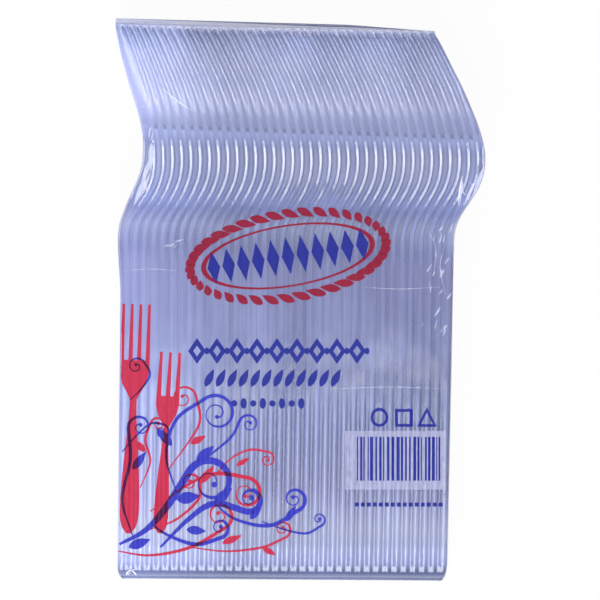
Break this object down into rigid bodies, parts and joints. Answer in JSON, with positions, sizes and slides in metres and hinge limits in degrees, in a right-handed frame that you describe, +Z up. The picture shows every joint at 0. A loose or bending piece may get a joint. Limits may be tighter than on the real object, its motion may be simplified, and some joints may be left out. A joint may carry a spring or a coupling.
{
  "type": "plastic cutlery pack",
  "caption": "Row of nested clear plastic forks lying edge on, wrapped together in a tight clear printed film bag.",
  "frame": {"origin": "middle of the underside, on the surface that the pack lies on", "axes": "+X along the row from its first fork, +Y from the handle ends to the tines, +Z up out of the printed face"},
  "size_m": [0.1156, 0.1782, 0.0275],
  "materials": {
    "clear_film": "clear, glossy, slightly crinkled",
    "clear_fork_plastic": "clear, glossy"
  },
  "bodies": {
    "root": {"film_bag": "clear_film", "fork_01": "clear_fork_plastic", "fork_02": "clear_fork_plastic", "fork_03": "clear_fork_plastic", "fork_04": "clear_fork_plastic", "fork_05": "clear_fork_plastic", "fork_06": "clear_fork_plastic", "fork_07": "clear_fork_plastic", "fork_08": "clear_fork_plastic", "fork_09": "clear_fork_plastic", "fork_10": "clear_fork_plastic", "fork_11": "clear_fork_plastic", "fork_12": "clear_fork_plastic", "fork_13": "clear_fork_plastic", "fork_14": "clear_fork_plastic", "fork_15": "clear_fork_plastic", "fork_16": "clear_fork_plastic", "fork_17": "clear_fork_plastic", "fork_18": "clear_fork_plastic", "fork_19": "clear_fork_plastic", "fork_20": "clear_fork_plastic", "fork_21": "clear_fork_plastic", "fork_22": "clear_fork_plastic", "fork_23": "clear_fork_plastic", "fork_24": "clear_fork_plastic", "fork_25": "clear_fork_plastic", "fork_26": "clear_fork_plastic", "fork_27": "clear_fork_plastic", "fork_28": "clear_fork_plastic", "fork_29": "clear_fork_plastic", "fork_30": "clear_fork_plastic", "fork_31": "clear_fork_plastic", "fork_32": "clear_fork_plastic", "fork_33": "clear_fork_plastic", "fork_34": "clear_fork_plastic", "fork_35": "clear_fork_plastic", "fork_36": "clear_fork_plastic"}
  },
  "joints": []
}
